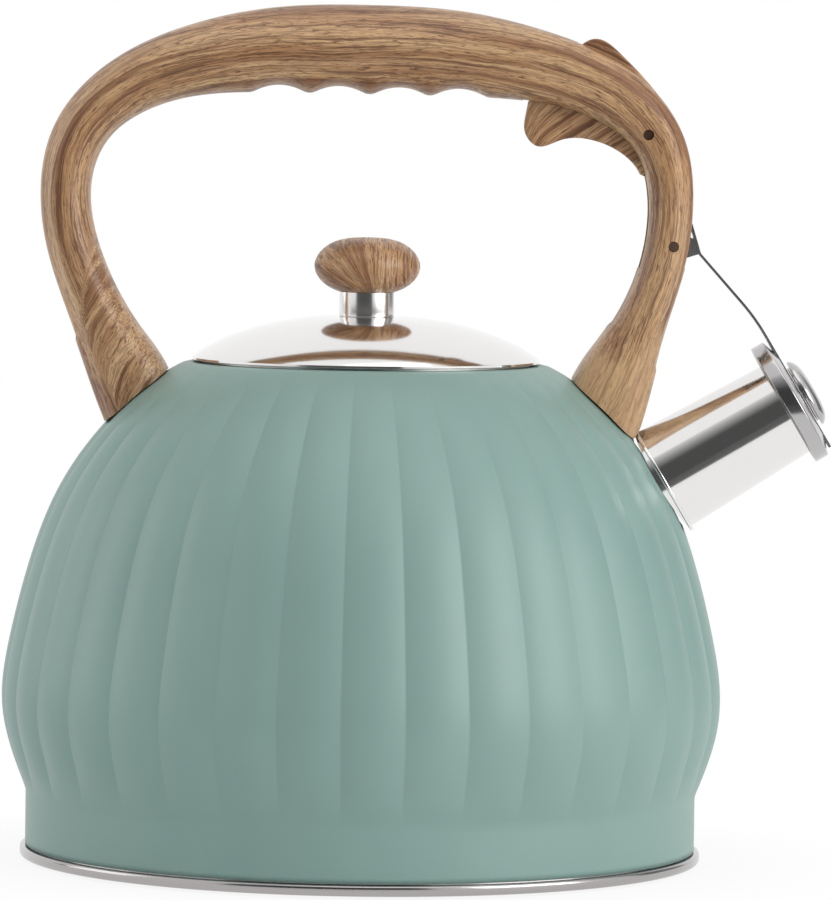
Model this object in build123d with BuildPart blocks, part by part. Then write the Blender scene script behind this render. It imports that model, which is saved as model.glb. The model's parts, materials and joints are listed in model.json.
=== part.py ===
"""Stovetop whistling kettle: lobed steel body, arched handle with a trigger, and a hinged whistle cap.

Millimetres. The origin is the middle of the base on the hob, +Z is up, and the spout points along +X.
"""

import os
from math import acos, atan2, copysign, cos, degrees, hypot, radians, sin, tan

from build123d import *

os.makedirs("parts", exist_ok=True)

# Body shell
lobe_count = 36
lobe_depth = 1.1            # crest to crease
lobe_trace = 0.03           # what is left of a lobe where it runs out
lobe_turn = 7.3             # degrees from the spout to the first crease
lobe_fade_low = 10.0        # height in which the lobes rise out of the band
lobe_fade_high = 17.0       # height in which they run out below the mouth
body_wall = 0.7
band_radius = 93.2
band_lip = 0.2              # the lobes start this much outside the band
band_top = 19.8
belly_radius = 100.0
belly_height = 42.5
mouth_edge = 50.2           # radius where the shoulder turns flat around the mouth
mouth_height = 138.4
section_steps = 20          # lofted stretches between band and mouth
section_bias = 0.4          # how much closer they get towards the mouth

# Bottom
bead_radius = 94.7
bead_width = 2.6
bead_height = 3.0
bead_lift = 0.8             # the bead clears the hob by this much
bead_round = 1.2
seam_gap = 0.3              # joint line between bead and painted shell
pan_wall = 0.7
pan_upstand = 5.0           # ring of the pan that goes up inside the shell
disc_radius = 82.0
cap_wall = 0.6
weld_clearance = 0.1

# Mouth and lid
neck_radius = 43.6          # bore of the mouth
neck_wall = 0.8
neck_depth = 9.0
neck_flange = 0.6
neck_setback = 2.6          # the flange ends this far inside the lid's rim
lid_radius = 48.3
lid_wall = 0.6
lid_edge = 0.7              # upright rim of the lid
lid_rise = 12.4             # from the seat to the flat crown
lid_shoulder = 6.8          # how far in from the rim the dome is still steep
lid_shoulder_drop = 5.8     # how far that is below the crown
crown_flat = 8.6            # radius of the flat that carries the collar
crown_ease = 15.4           # how far the dome runs on almost level around it
skirt_depth = 11.0
skirt_setback = 1.5         # skirt flange stays inside the lid's rim
lid_clearance = 0.5
collar_radius = 7.65
collar_wall = 0.9
collar_height = 7.0
knob_radius = 14.7
knob_height = 15.0
knob_waist = 7.0            # height of the knob's widest circle
knob_seat = 8.0             # radius of the knob's flat underside
knob_low = (0.87, 0.19)     # points on its side below and above the waist, as shares of radius and height
knob_high = (0.83, 0.79)
lid_screw_radius = 2.0
lid_screw_grip = 8.0        # length of screw inside the knob
screw_clearance = 0.05
screw_head_radius = 3.6
screw_head_height = 2.2
washer_radius = 5.0
washer_thickness = 0.8

# Spout
spout_height = 106.9        # where its axis leaves the body
spout_tilt = 31.0           # degrees above level
spout_length = 40.8
spout_root_radius = 15.1
spout_mouth_radius = 13.65
spout_wall = 0.8
flange_radius = 16.3
flange_front = 0.9          # front face of the flange, along the axis
flange_thickness = 1.0
flange_neck = 0.4           # the collar behind the flange is this much smaller
seat_gap = 0.3              # between the body and what is fixed on it

# Whistle cap, measured along the spout's axis from the cap's back edge
cap_cover = 1.2             # the cap reaches this far over the mouth
cap_raise = 1.1             # and hangs this far above the spout's axis
cap_radius = 18.1
cap_skirt = 3.9             # length of its straight wall
cap_front = 5.3             # height of its flat front
cap_front_radius = 13.8
cap_sheet = 0.8
plate_gap = 0.3             # whistle plate to spout mouth
plate_thickness = 0.6
whistle_hole = 1.6          # radius
button_radius = 9.9
button_neck = 8.4
button_lift = 0.7           # the button's edge stands this far off the strap
button_edge = 0.5
button_rise = 2.4
button_sheet = 0.8

# Handle, an arch of oval ribs: the plain leg is on the side away from the spout
handle_inset = 9.1          # the legs stay this far inside the belly
handle_top = 237.8
grip_thickness = 24.8
grip_depth = 26.0           # across, at the top
leg_depth = 24.0            # across, at the legs
foot_depth = 28.0
plain_foot = (121.6, 136.0)     # lower and upper corner of the plain leg's foot on the body
slotted_foot = (118.3, 134.4)   # the same for the leg with the slot
foot_sink = 6.0             # length that is trimmed to the body's curve
rib_steps = 8               # stretches on each half of a rib's outline
scallop_count = 4
scallop_pitch = 16.7
scallop_depth = 2.1
scallop_radius = 17.5
slot_width = 10.0
slot_floor = 6.2            # end of the slot below the arm's pin

# Screws that hold the feet
plain_screw_height = 129.0
slotted_screw_height = 126.6
foot_screw_angle = 6.4      # degrees to each side of the foot's middle
foot_screw_radius = 2.0
foot_screw_grip = 6.5
foot_hole_clearance = 0.3
seal_thickness = 1.2
seal_clearance = 0.55

# Trigger and cap arm
trigger_pin_inset = 13.7    # pins, in from the leg's outermost point and down from the top
trigger_pin_drop = 34.8
arm_pin_inset = 6.3
arm_pin_drop = 65.6
pin_radius = 1.45
pin_clearance = 0.05
trigger_pin_length = 21.0
arm_pin_length = 22.4
trigger_clearance = 0.4     # to each side of the slot
strap_thickness = 0.7
strap_width = 8.4
strap_lead = 25.0           # strap reaches the cap's plane this far above its middle
strap_tail = 16.4           # and ends this far below it
strap_bend = 1.6
strap_ease = 5.6            # length on each side of the strap's long curve
ear_radius = 4.2
ear_rise = 4.0              # height of the ears along the web

# Return spring on the arm's pin
spring_wire = 0.7
spring_pitch = 1.15
spring_turns = 3
spring_clearance = 0.65     # coil to pin
spring_end_gap = 0.3


def polar(radius, angle):
    return (radius * cos(radians(angle)), radius * sin(radians(angle)))


# Crest line of the lobes, from the band to the mouth, as radius and height
shoulder_shares = ((0.040, 0.201), (0.141, 0.412), (0.297, 0.626), (0.544, 0.813))  # way in, way up


def on_shoulder(way_in, way_up):
    return (
        belly_radius + (mouth_edge - belly_radius) * way_in,
        belly_height + (mouth_height - belly_height) * way_up,
    )


crest_points = [
    (band_radius + band_lip, band_top),
    (belly_radius, belly_height),
    *(on_shoulder(way_in, way_up) for way_in, way_up in shoulder_shares),
    (mouth_edge, mouth_height),
]
crest_tangents = ((0.42, 1.0), (-1.0, 0.45))

with BuildLine(Plane.XZ) as crest_curve:
    Spline(*crest_points, tangents=crest_tangents)
crest_line = crest_curve.line.edges()[0]


def crest_parameter(height):
    low, high = 0.0, 1.0
    for _ in range(40):
        middle = (low + high) / 2
        if (crest_line @ middle).Z < height:
            low = middle
        else:
            high = middle
    return low


def crest_radius(height):
    return (crest_line @ crest_parameter(height)).X


def lobe_at(height):
    rise = (height - band_top) / lobe_fade_low
    fall = (mouth_height - height) / lobe_fade_high
    return lobe_trace + (lobe_depth - lobe_trace) * max(0.0, min(1.0, rise, fall))


def lobed_level(step, depth):
    """One level of the body, the given depth below its surface: arcs that meet in sharp creases."""
    share = step / section_steps
    spot = share * (1 + section_bias * (1 - share))
    point, along = crest_line @ spot, crest_line % spot
    crest = point.X - depth * along.Z
    crease = crest - lobe_at(point.Z)
    pitch = 360 / lobe_count
    with BuildSketch(Plane.XY.offset(point.Z + depth * along.X)) as level:
        with BuildLine():
            for lobe in range(lobe_count):
                start = lobe_turn + lobe * pitch
                ThreePointArc(
                    polar(crease, start),
                    polar(crest, start + pitch / 2),
                    polar(crease, start + pitch),
                )
        make_face()
    return level.sketch


def foot_seat(azimuth, height):
    """Plane on the body where a foot screw goes through, its normal pointing out."""
    spot = crest_parameter(height)
    point, along = crest_line @ spot, crest_line % spot
    east, north = cos(radians(azimuth)), sin(radians(azimuth))
    return Plane(
        origin=(point.X * east, point.X * north, point.Z),
        x_dir=(-north, east, 0),
        z_dir=(along.Z * east, along.Z * north, -along.X),
    )


foot_seats = [
    foot_seat(side + turn, height)
    for side, height in ((0, slotted_screw_height), (180, plain_screw_height))
    for turn in (-foot_screw_angle, foot_screw_angle)
]

spout_plane = Plane(
    origin=(crest_radius(spout_height), 0, spout_height),
    x_dir=(0, 1, 0),
    z_dir=(cos(radians(spout_tilt)), 0, sin(radians(spout_tilt))),
)
cap_plane = spout_plane.offset(spout_length - cap_cover)
cap_plane.origin += spout_plane.z_dir.cross(spout_plane.x_dir) * cap_raise


def spout_radius(along):
    return spout_root_radius + (spout_mouth_radius - spout_root_radius) * along / spout_length


# Smooth form of the body, a seat gap wider and higher, that trims what stands on it
form_points = [(radius + seat_gap, height + seat_gap) for radius, height in crest_points]

with BuildPart() as body_form:
    with BuildSketch(Plane.XZ):
        with BuildLine():
            Spline(*form_points, tangents=crest_tangents)
            Polyline(form_points[-1], (0, form_points[-1][1]), (0, form_points[0][1]), form_points[0])
        make_face()
    revolve(axis=Axis.Z)

# Body shell: lobed outside and inside, plain band below, mouth, spout hole and screw holes
shell_foot = bead_lift + bead_height + seam_gap
outer_levels = [lobed_level(step, 0) for step in range(section_steps + 1)]
inner_levels = [lobed_level(step, body_wall) for step in range(section_steps + 1)]
hollow_start = inner_levels[0].center().Z

with BuildPart() as body_shell:
    loft(outer_levels)
    with BuildSketch(Plane.XY.offset(shell_foot)):
        Circle(band_radius)
    extrude(amount=band_top - shell_foot)
    loft(inner_levels, mode=Mode.SUBTRACT)
    with BuildSketch(Plane.XY.offset(shell_foot)):
        Circle(band_radius - body_wall)
    extrude(amount=hollow_start - shell_foot, mode=Mode.SUBTRACT)
    with BuildSketch(Plane.XY.offset(mouth_height)):
        Circle(neck_radius + neck_wall + weld_clearance)
    extrude(amount=-neck_depth, mode=Mode.SUBTRACT)
    with BuildSketch(spout_plane):
        Circle(spout_root_radius - spout_wall)
    extrude(amount=spout_root_radius, both=True, mode=Mode.SUBTRACT)
    for seat in foot_seats:
        with BuildSketch(seat):
            Circle(foot_screw_radius + foot_hole_clearance)
        extrude(amount=washer_radius, both=True, mode=Mode.SUBTRACT)
body_shell.part.label = "body_shell"
export_step(body_shell.part, "parts/body_shell.step")

# Bottom pan: floor, rolled bead, and a ring that goes up inside the shell
pan_top = bead_lift + bead_height
ring_radius = band_radius - body_wall - weld_clearance

with BuildPart() as bottom_pan:
    with BuildSketch(Plane.XZ):
        with Locations((bead_radius - bead_width / 2, bead_lift + bead_height / 2)):
            RectangleRounded(bead_width, bead_height, bead_round)
        with Locations((0, pan_top - pan_wall)):
            Rectangle(bead_radius - bead_width / 2, pan_wall, align=(Align.MIN, Align.MIN))
        with Locations((ring_radius - pan_wall, pan_top - pan_wall)):
            Rectangle(pan_wall, pan_wall + pan_upstand, align=(Align.MIN, Align.MIN))
    revolve(axis=Axis.Z)
bottom_pan.part.label = "bottom_pan"
export_step(bottom_pan.part, "parts/bottom_pan.step")

disc_thickness = pan_top - pan_wall - cap_wall

with BuildPart() as heat_spreader:
    with BuildSketch(Plane.XY.offset(cap_wall)):
        Circle(disc_radius)
    extrude(amount=disc_thickness)
heat_spreader.part.label = "heat_spreader"
export_step(heat_spreader.part, "parts/heat_spreader.step")

with BuildPart() as base_cap:
    with BuildSketch(Plane.XY):
        Circle(disc_radius + weld_clearance + cap_wall)
    extrude(amount=cap_wall + disc_thickness)
    with BuildSketch(Plane.XY.offset(cap_wall)):
        Circle(disc_radius + weld_clearance)
    extrude(amount=disc_thickness, mode=Mode.SUBTRACT)
    fillet(base_cap.faces().sort_by(Axis.Z)[0].edges(), cap_wall * 0.8)
base_cap.part.label = "base_cap"
export_step(base_cap.part, "parts/base_cap.step")

# Neck ring: lines the mouth, its flange carries the lid
lid_seat = mouth_height + neck_flange

with BuildPart() as neck_ring:
    with BuildSketch(Plane.XZ):
        with Locations((neck_radius, lid_seat - neck_depth)):
            Rectangle(neck_wall, neck_depth, align=(Align.MIN, Align.MIN))
        with Locations((neck_radius, mouth_height)):
            Rectangle(lid_radius - neck_setback - neck_radius, neck_flange, align=(Align.MIN, Align.MIN))
    revolve(axis=Axis.Z)
neck_ring.part.label = "neck_ring"
export_step(neck_ring.part, "parts/neck_ring.step")

# Lid: an even sheet with a flat crown
crown_top = lid_seat + lid_rise


def dome(sheet):
    """The lid's dome from rim to crown, the given depth below its outer face."""
    rim = lid_radius - sheet
    Bezier(
        (rim, lid_seat + lid_edge - sheet),
        (rim - lid_shoulder, crown_top - sheet - lid_shoulder_drop),
        (crown_flat + crown_ease, crown_top - sheet),
        (crown_flat, crown_top - sheet),
    )


with BuildPart() as lid:
    with BuildSketch(Plane.XZ):
        with BuildLine():
            dome(0)
            Line((crown_flat, crown_top), (0, crown_top))
            Line((0, crown_top), (0, crown_top - lid_wall))
            Line((0, crown_top - lid_wall), (crown_flat, crown_top - lid_wall))
            dome(lid_wall)
            Line((lid_radius - lid_wall, lid_seat + lid_edge - lid_wall), (lid_radius - lid_wall, lid_seat))
            Line((lid_radius - lid_wall, lid_seat), (lid_radius, lid_seat))
            Line((lid_radius, lid_seat), (lid_radius, lid_seat + lid_edge))
        make_face()
    revolve(axis=Axis.Z)
    with BuildSketch(Plane.XY.offset(crown_top)):
        Circle(lid_screw_radius + screw_clearance)
    extrude(amount=lid_wall, both=True, mode=Mode.SUBTRACT)
lid.part.label = "lid"
export_step(lid.part, "parts/lid.step")

skirt_radius = neck_radius - lid_clearance

with BuildPart() as lid_skirt:
    with BuildSketch(Plane.XZ):
        with Locations((skirt_radius - lid_wall, lid_seat + lid_wall)):
            Rectangle(lid_wall, skirt_depth, align=(Align.MIN, Align.MAX))
        with Locations((skirt_radius - lid_wall, lid_seat)):
            flange = lid_radius - lid_wall - skirt_setback - (skirt_radius - lid_wall)
            Rectangle(flange, lid_wall, align=(Align.MIN, Align.MIN))
    revolve(axis=Axis.Z)
lid_skirt.part.label = "lid_skirt"
export_step(lid_skirt.part, "parts/lid_skirt.step")

with BuildPart() as lid_collar:
    with BuildSketch(Plane.XY.offset(crown_top)):
        Circle(collar_radius)
        Circle(collar_radius - collar_wall, mode=Mode.SUBTRACT)
    extrude(amount=collar_height)
lid_collar.part.label = "lid_collar"
export_step(lid_collar.part, "parts/lid_collar.step")

knob_base = crown_top + collar_height

with BuildPart() as lid_knob:
    with BuildSketch(Plane.XZ):
        with BuildLine():
            Line((0, knob_base + knob_height), (0, knob_base))
            Line((0, knob_base), (knob_seat, knob_base))
            Spline(
                (knob_seat, knob_base),
                (knob_radius * knob_low[0], knob_base + knob_height * knob_low[1]),
                (knob_radius, knob_base + knob_waist),
                (knob_radius * knob_high[0], knob_base + knob_height * knob_high[1]),
                (0, knob_base + knob_height),
                tangents=((1.0, 0.35), (-1.0, 0.0)),
            )
        make_face()
    revolve(axis=Axis.Z)
    with BuildSketch(Plane.XY.offset(knob_base)):
        Circle(lid_screw_radius + screw_clearance)
    extrude(amount=lid_screw_grip + washer_thickness, mode=Mode.SUBTRACT)
lid_knob.part.label = "lid_knob"
export_step(lid_knob.part, "parts/lid_knob.step")

washer_top = crown_top - lid_wall

with BuildPart() as lid_washer:
    with BuildSketch(Plane.XY.offset(washer_top)):
        Circle(washer_radius)
        Circle(lid_screw_radius + screw_clearance, mode=Mode.SUBTRACT)
    extrude(amount=-washer_thickness)
lid_washer.part.label = "lid_washer"
export_step(lid_washer.part, "parts/lid_washer.step")

with BuildPart() as lid_screw:
    with BuildSketch(Plane.XY.offset(washer_top - washer_thickness)):
        Circle(screw_head_radius)
    extrude(amount=-screw_head_height)
    fillet(lid_screw.faces().sort_by(Axis.Z)[0].edges(), screw_head_height / 2)
    with BuildSketch(Plane.XY.offset(washer_top - washer_thickness)):
        Circle(lid_screw_radius)
    extrude(amount=washer_thickness + lid_wall + collar_height + lid_screw_grip)
lid_screw.part.label = "lid_screw"
export_step(lid_screw.part, "parts/lid_screw.step")

# Spout: a tapered tube that stands on the body
with BuildPart() as spout:
    for along in (-flange_radius, spout_length):
        with BuildSketch(spout_plane.offset(along)):
            Circle(spout_radius(along))
    loft()
    for along in (-flange_radius, spout_length):
        with BuildSketch(spout_plane.offset(along)):
            Circle(spout_radius(along) - spout_wall)
    loft(mode=Mode.SUBTRACT)
    add(body_form.part, mode=Mode.SUBTRACT)
spout.part.label = "spout"
export_step(spout.part, "parts/spout.step")

with BuildPart() as spout_flange:
    with BuildSketch(spout_plane.offset(-flange_radius)):
        Circle(flange_radius - flange_neck)
    extrude(amount=flange_radius + flange_front)
    with BuildSketch(spout_plane.offset(flange_front)):
        Circle(flange_radius)
    extrude(amount=-flange_thickness)
    for along in (-flange_radius, spout_length):
        with BuildSketch(spout_plane.offset(along)):
            Circle(spout_radius(along) + weld_clearance)
    loft(mode=Mode.SUBTRACT)
    add(body_form.part, mode=Mode.SUBTRACT)
spout_flange.part.label = "spout_flange"
export_step(spout_flange.part, "parts/spout_flange.step")

# Whistle cap: a cup with a bevelled front, a whistle plate inside and a domed button outside
cap_axis = Plane(origin=cap_plane.origin, x_dir=cap_plane.x_dir, z_dir=-cap_plane.y_dir)
turning_axis = Axis(cap_plane.origin, cap_plane.z_dir)

with BuildPart() as whistle_cap:
    with BuildSketch(cap_axis):
        with BuildLine():
            Polyline(
                (whistle_hole, cap_front),
                (cap_front_radius, cap_front),
                (cap_radius, cap_skirt),
                (cap_radius, 0),
                (cap_radius - cap_sheet, 0),
                (cap_radius - cap_sheet, cap_skirt - cap_sheet / 2),
                (cap_front_radius - cap_sheet / 2, cap_front - cap_sheet),
                (whistle_hole, cap_front - cap_sheet),
                close=True,
            )
        make_face()
    revolve(axis=turning_axis)
whistle_cap.part.label = "whistle_cap"
export_step(whistle_cap.part, "parts/whistle_cap.step")

with BuildPart() as whistle_plate:
    with BuildSketch(cap_plane.offset(cap_cover + plate_gap)):
        Circle(cap_radius - cap_sheet - weld_clearance)
        Circle(whistle_hole, mode=Mode.SUBTRACT)
    extrude(amount=plate_thickness)
whistle_plate.part.label = "whistle_plate"
export_step(whistle_plate.part, "parts/whistle_plate.step")

button_base = cap_front + strap_thickness
button_rim = button_base + button_lift

with BuildPart() as cap_button:
    with BuildSketch(cap_axis):
        with BuildLine():
            Polyline(
                (whistle_hole, button_rim + button_edge + button_rise),
                (whistle_hole, button_base),
                (button_neck, button_base),
                (button_neck, button_rim),
                (button_radius, button_rim),
                (button_radius, button_rim + button_edge),
            )
            Spline(
                (button_radius, button_rim + button_edge),
                (whistle_hole, button_rim + button_edge + button_rise),
                tangents=((-0.6, 1.0), (-1.0, 0.0)),
            )
        make_face()
        with Locations((whistle_hole, button_base)):
            Rectangle(
                button_neck - button_sheet - whistle_hole,
                button_lift + button_edge,
                align=(Align.MIN, Align.MIN),
                mode=Mode.SUBTRACT,
            )
    revolve(axis=turning_axis)
cap_button.part.label = "cap_button"
export_step(cap_button.part, "parts/cap_button.step")

# Handle ribs from foot to grip: outer point, as shares of the reach and of the arch's height in from the
# outermost point and down from the top, then thickness, lean in degrees, depth across and how square the
# rib is (2 is an ellipse)
handle_reach = belly_radius - handle_inset
arch_height = handle_top - mouth_height
plain_leg = [
    (0.114, 0.936, 17.5, 13.2, leg_depth + 1.0, 2.6),
    (0.043, 0.758, 15.4, 1.9, leg_depth, 2.4),
    (0.0, 0.534, 13.9, 0.8, leg_depth, 2.3),
    (0.035, 0.355, 15.1, -16.2, leg_depth, 2.2),
    (0.167, 0.197, 16.7, -43.1, leg_depth, 2.1),
    (0.455, 0.06, 20.0, -75.5, leg_depth + 1.0, 2),
    (0.69, 0.012, 23.4, -87.1, grip_depth, 2),
]
slotted_leg = [
    (0.098, 0.935, 15.9, 12.7, leg_depth + 1.0, 2.6),
    (0.039, 0.755, 13.5, -0.8, leg_depth, 2.4),
    (0.005, 0.534, 13.2, 0.9, leg_depth, 2.3),
    (0.04, 0.353, 14.4, -17.8, leg_depth, 2.2),
    (0.167, 0.197, 17.0, -44.0, leg_depth, 2.1),
    (0.46, 0.067, 20.0, -76.1, leg_depth + 1.0, 2),
    (0.69, 0.018, 23.3, -87.1, grip_depth, 2),
]
foot_square = 3.2
leg_run = (0.42, -0.91)     # direction in which each leg runs into the body


def leg_ribs(side, foot, rows):
    corners = [(crest_radius(height), height) for height in foot]
    sunk = [(radius - leg_run[0] * foot_sink, height + leg_run[1] * foot_sink) for radius, height in corners]
    ribs = [(*sunk, foot_depth, foot_square), (*corners, foot_depth, foot_square)]
    for inset, drop, thickness, lean, depth, square in rows:
        outer = (handle_reach * (1 - inset), handle_top - arch_height * drop)
        across, up = polar(thickness, lean)
        ribs.append((outer, (outer[0] - across, outer[1] + up), depth, square))
    return [((side * a, b), (side * c, d), depth, square) for (a, b), (c, d), depth, square in ribs]


crown_rib = ((0, handle_top), (0, handle_top - grip_thickness), grip_depth, 2)
handle_ribs = leg_ribs(-1, plain_foot, plain_leg) + [crown_rib] + leg_ribs(1, slotted_foot, slotted_leg)[::-1]


def rib_half(width, depth, square):
    """One half of a rib's outline, from its outer to its inner point."""
    points = []
    for step in range(rib_steps + 1):
        shares = polar(1, 180 * step / rib_steps)
        across, deep = (copysign(abs(share) ** (2 / square), share) for share in shares)
        points.append((across * width / 2, deep * depth / 2))
    return points


trigger_pivot = (handle_reach - trigger_pin_inset, handle_top - trigger_pin_drop)
arm_pivot = (handle_reach - arm_pin_inset, handle_top - arm_pin_drop)


def from_trigger(across, up):
    return (trigger_pivot[0] + across, trigger_pivot[1] + up)


def from_arm(across, up):
    return (arm_pivot[0] + across, arm_pivot[1] + up)


slot_end = arm_pivot[1] - slot_floor
slot_far = handle_reach + grip_depth

with BuildPart() as handle:
    for (outer_x, outer_z), (inner_x, inner_z), depth, square in handle_ribs:
        width = hypot(outer_x - inner_x, outer_z - inner_z)
        outward = Vector(outer_x - inner_x, 0, outer_z - inner_z).normalized()
        middle = ((outer_x + inner_x) / 2, 0, (outer_z + inner_z) / 2)
        with BuildSketch(Plane(origin=middle, x_dir=outward, z_dir=Vector(0, 1, 0).cross(outward))):
            half = rib_half(width, depth, square)
            with BuildLine():
                Spline(*half, tangents=((0, 1), (0, -1)))
                Spline(*((across, -deep) for across, deep in reversed(half)), tangents=((0, -1), (0, 1)))
            make_face()
    loft()
    add(body_form.part, mode=Mode.SUBTRACT)
    trimmed = handle.part.solids().sort_by(SortBy.VOLUME)[-1]
    add(trimmed, mode=Mode.REPLACE)   # without the crumbs that the trim can leave between two lobes
    with BuildSketch(spout_plane.offset(-flange_radius)):
        Circle(flange_radius + seat_gap)
    extrude(amount=flange_radius + spout_length, mode=Mode.SUBTRACT)
    with BuildSketch(Plane.XZ):
        with Locations((0, handle_top - grip_thickness + scallop_depth - scallop_radius)):
            with GridLocations(scallop_pitch, 1, scallop_count, 1):
                Circle(scallop_radius)
    extrude(amount=grip_depth, both=True, mode=Mode.SUBTRACT)
    with BuildSketch(Plane.XZ):
        with BuildLine():
            Polyline(
                from_trigger(-36.5, -4.0),
                from_trigger(-35.0, 8.5),
                from_trigger(-31.0, 17.6),
                from_trigger(-19.9, 25.1),
                from_trigger(-16.0, 32.2),
                (slot_far, trigger_pivot[1] + 32.2),
                (slot_far, slot_end),
                (arm_pivot[0] - grip_depth, slot_end),
                close=True,
            )
        make_face()
    extrude(amount=slot_width / 2, both=True, mode=Mode.SUBTRACT)
    with BuildSketch(Plane.XZ):
        with Locations(trigger_pivot, arm_pivot):
            Circle(pin_radius + pin_clearance)
    extrude(amount=foot_depth, both=True, mode=Mode.SUBTRACT)
    for seat in foot_seats:
        with BuildSketch(seat):
            Circle(foot_screw_radius + screw_clearance)
        extrude(amount=foot_screw_grip + washer_thickness, mode=Mode.SUBTRACT)
handle.part.label = "handle"
export_step(handle.part, "parts/handle.step")

# Screws and washers that hold the feet from inside the body
seal_face = body_wall + lobe_depth + seal_clearance

with BuildPart() as seal_washers:
    for seat in foot_seats:
        with BuildSketch(seat.offset(-seal_face)):
            Circle(washer_radius)
            Circle(foot_screw_radius + screw_clearance, mode=Mode.SUBTRACT)
        extrude(amount=-seal_thickness)
seal_washers.part.label = "seal_washers"
export_step(seal_washers.part, "parts/seal_washers.step")

with BuildPart() as screw_washers:
    for seat in foot_seats:
        with BuildSketch(seat.offset(-seal_face - seal_thickness)):
            Circle(washer_radius)
            Circle(foot_screw_radius + screw_clearance, mode=Mode.SUBTRACT)
        extrude(amount=-washer_thickness)
screw_washers.part.label = "screw_washers"
export_step(screw_washers.part, "parts/screw_washers.step")

head_face = seal_face + seal_thickness + washer_thickness

with BuildPart() as handle_screws:
    for seat in foot_seats:
        with BuildSketch(seat.offset(-head_face)):
            Circle(screw_head_radius)
        extrude(amount=-screw_head_height)
        with BuildSketch(seat.offset(-head_face)):
            Circle(foot_screw_radius)
        extrude(amount=head_face + foot_screw_grip)
handle_screws.part.label = "handle_screws"
export_step(handle_screws.part, "parts/handle_screws.step")

# Cross pins
with BuildPart() as trigger_pin:
    with BuildSketch(Plane.XZ):
        with Locations(trigger_pivot):
            Circle(pin_radius)
    extrude(amount=trigger_pin_length / 2, both=True)
trigger_pin.part.label = "trigger_pin"
export_step(trigger_pin.part, "parts/trigger_pin.step")

with BuildPart() as arm_pin:
    with BuildSketch(Plane.XZ):
        with Locations(arm_pivot):
            Circle(pin_radius)
    extrude(amount=arm_pin_length / 2, both=True)
arm_pin.part.label = "arm_pin"
export_step(arm_pin.part, "parts/arm_pin.step")

# Trigger: finger nose below the grip, thumb tab above it, tail outside the arm's web
nose_top = from_trigger(-33.2, 8.5)
tab_foot = from_trigger(-18.9, 24.2)
tail_root = from_trigger(-1.9, -11.1)
tail_tip = from_trigger(11.6, -18.7)
tail_back = from_trigger(12.6, -18.4)

with BuildPart() as trigger:
    with BuildSketch(Plane.XZ):
        with BuildLine():
            Spline(
                nose_top,
                from_trigger(-34.0, 4.2),
                from_trigger(-34.1, 0.5),
                from_trigger(-30.7, -3.6),
                from_trigger(-24.2, -1.9),
                from_trigger(-15.6, -1.7),
                from_trigger(-7.0, -5.4),
                tail_root,
            )
            Polyline(tail_root, from_trigger(1.6, -12.6), from_trigger(9.6, -13.0), tail_tip, tail_back)
            Spline(
                tail_back,
                from_trigger(12.5, -12.0),
                from_trigger(11.2, -4.5),
                from_trigger(7.3, 4.3),
                from_trigger(0.2, 14.0),
                from_trigger(-7.8, 22.2),
                from_trigger(-15.2, 26.3),
                tab_foot,
            )
            Line(tab_foot, nose_top)
        make_face()
        with Locations(trigger_pivot):
            Circle(pin_radius + pin_clearance, mode=Mode.SUBTRACT)
    extrude(amount=slot_width / 2 - trigger_clearance, both=True)
trigger.part.label = "trigger"
export_step(trigger.part, "parts/trigger.step")

# Cap arm: a folded strap, its web and ears on the arm pin and its end on the cap's front
web_top = from_arm(2.7, 13.8)
web_fold = from_arm(7.5, -2.0)
web_run = Vector(web_top[0] - web_fold[0], web_top[1] - web_fold[1]).normalized()
ear_top = (web_fold[0] + web_run.X * ear_rise, web_fold[1] + web_run.Y * ear_rise)
strap_plane = cap_plane.offset(cap_front + strap_thickness / 2).origin
down_cap = (sin(radians(spout_tilt)), -cos(radians(spout_tilt)))


def on_cap(below):
    return (strap_plane.X + down_cap[0] * below, strap_plane.Z + down_cap[1] * below)


strap_knee = on_cap(-strap_lead)
strap_turn = Vector(strap_knee[0] - web_fold[0], strap_knee[1] - web_fold[1]).get_angle(Vector(*down_cap))
strap_curve = strap_ease / tan(radians(strap_turn / 2))

with BuildPart() as cap_arm:
    with BuildSketch(Plane.XZ):
        with BuildLine():
            bends = [strap_bend, strap_curve]
            FilletPolyline(web_top, web_fold, strap_knee, on_cap(strap_tail), radius=bends)
        trace(line_width=strap_thickness)
    extrude(amount=strap_width / 2, both=True)
    for face in (strap_width / 2, strap_thickness - strap_width / 2):
        with BuildSketch(Plane.XZ.offset(face)):
            with BuildLine():
                CenterArc(arm_pivot, ear_radius, 0, 360)
                Line(ear_top, web_fold)
            make_hull()
        extrude(amount=-strap_thickness)
    with BuildSketch(Plane.XZ):
        with Locations(arm_pivot):
            Circle(pin_radius + pin_clearance)
    extrude(amount=strap_width, both=True, mode=Mode.SUBTRACT)
    with BuildSketch(cap_plane):
        Circle(whistle_hole)
    extrude(amount=cap_front + strap_thickness * 2, mode=Mode.SUBTRACT)
cap_arm.part.label = "cap_arm"
export_step(cap_arm.part, "parts/cap_arm.step")

# Return spring: a coil round the arm pin, one leg on the slot's end and one behind the web
coil_radius = pin_radius + spring_clearance + spring_wire / 2
leg_side = strap_thickness / 2 + spring_wire / 2 + spring_end_gap
web_leg = (
    web_fold[0] + web_run.X * ear_radius * 3 - web_run.Y * leg_side - arm_pivot[0],
    web_fold[1] + web_run.Y * ear_radius * 3 + web_run.X * leg_side - arm_pivot[1],
)
slot_leg = (-ear_radius / 2, slot_end + spring_wire / 2 + spring_end_gap - arm_pivot[1])


def tangent_angle(point, turn):
    reach = acos(coil_radius / hypot(*point))
    return degrees(atan2(point[1], point[0]) + turn * reach)


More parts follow.
